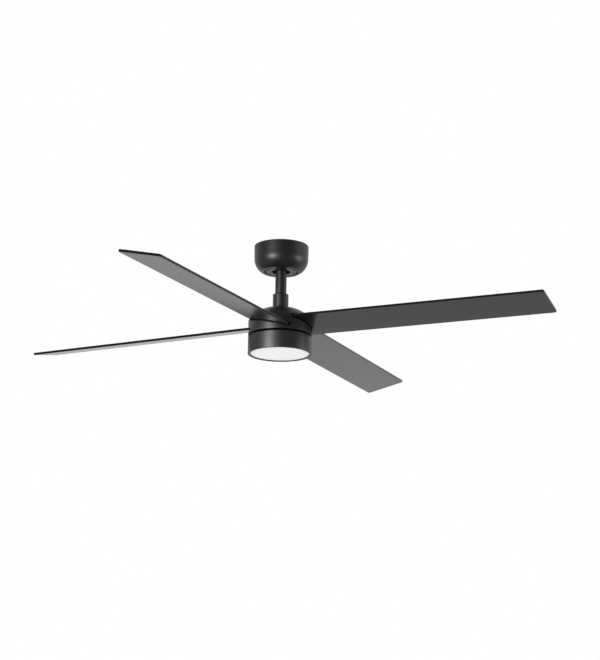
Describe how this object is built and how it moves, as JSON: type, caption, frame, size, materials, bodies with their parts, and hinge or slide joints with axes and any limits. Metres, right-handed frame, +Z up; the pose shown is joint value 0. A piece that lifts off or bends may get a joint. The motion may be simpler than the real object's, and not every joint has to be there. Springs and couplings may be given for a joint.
{
  "type": "ceiling fan with light",
  "caption": "Slim matt black ceiling fan on a short downrod, with flat pitched blades on a drum motor housing and a round opal light underneath.",
  "frame": {"origin": "centre of the ceiling face, on the fan's vertical axis, with the fan hanging below", "axes": "+Z up, out of the ceiling face; +X along the row of ceiling slots; -Y towards the viewer"},
  "size_m": [1.2206, 1.2206, 0.263],
  "materials": {
    "black_metal": "matt black powder coat",
    "black_blade": "matt black lacquer",
    "opal": "opal white",
    "zinc_steel": "zinc plated",
    "laminated_steel": "lacquered sheets",
    "cast_aluminium": "as cast",
    "magnet": "nickel grey",
    "copper_wire": "enamelled copper",
    "black_plastic": "moulded black",
    "white_plastic": "moulded white",
    "circuit_board": "white solder mask",
    "led_yellow": "phosphor yellow"
  },
  "bodies": {
    "ceiling_mount": {"hanger_bracket": "zinc_steel", "canopy": "black_metal", "canopy_ring": "black_metal", "canopy_screws": "zinc_steel", "receiver_box": "black_plastic", "terminal_block": "white_plastic"},
    "hanging_stem": {"hanger_ball": "black_plastic", "ball_cross_pin": "zinc_steel", "ball_set_screw": "zinc_steel", "downrod": "black_metal", "coupling_cover": "black_metal", "motor_coupling": "zinc_steel", "clevis_pin": "zinc_steel", "split_pin": "zinc_steel", "coupling_set_screws": "zinc_steel", "motor_shaft": "zinc_steel", "shaft_circlip": "zinc_steel", "stator_core": "laminated_steel", "stator_windings": "copper_wire", "upper_bearing_inner": "zinc_steel", "lower_bearing_inner": "zinc_steel", "light_housing": "black_metal", "clamp_washer": "zinc_steel", "shaft_nut": "zinc_steel", "led_driver": "white_plastic", "tray_standoffs": "zinc_steel", "led_tray": "cast_aluminium", "tray_screws": "zinc_steel", "led_board": "circuit_board", "led_chips": "led_yellow"},
    "rotor": {"rotor_housing": "black_metal", "housing_nut": "zinc_steel", "motor_upper_bell": "black_metal", "motor_lower_bell": "black_metal", "rotor_ring": "zinc_steel", "rotor_magnets": "magnet", "motor_screws": "zinc_steel", "upper_bearing_outer": "zinc_steel", "lower_bearing_outer": "zinc_steel", "blade_carrier": "black_metal", "carrier_screws": "black_metal", "blade_screws": "black_metal", "blade_1": "black_blade", "blade_2": "black_blade", "blade_3": "black_blade", "blade_4": "black_blade"},
    "diffuser": {"diffuser": "opal"}
  },
  "joints": [
    {"name": "ball_swing", "type": "hinge", "parent": "ceiling_mount", "child": "hanging_stem", "pos_m": [0, 0, -0.03], "axis": [1, 0, 0], "range_deg": [-8, 8]},
    {"name": "rotor_spin", "type": "hinge", "parent": "hanging_stem", "child": "rotor", "pos_m": [0, 0, -0.1953], "axis": [0, 0, 1], "continuous": true},
    {"name": "diffuser_twist", "type": "hinge", "parent": "hanging_stem", "child": "diffuser", "pos_m": [0, 0, -0.2611], "axis": [0, 0, -1], "range_deg": [0, 22]}
  ]
}
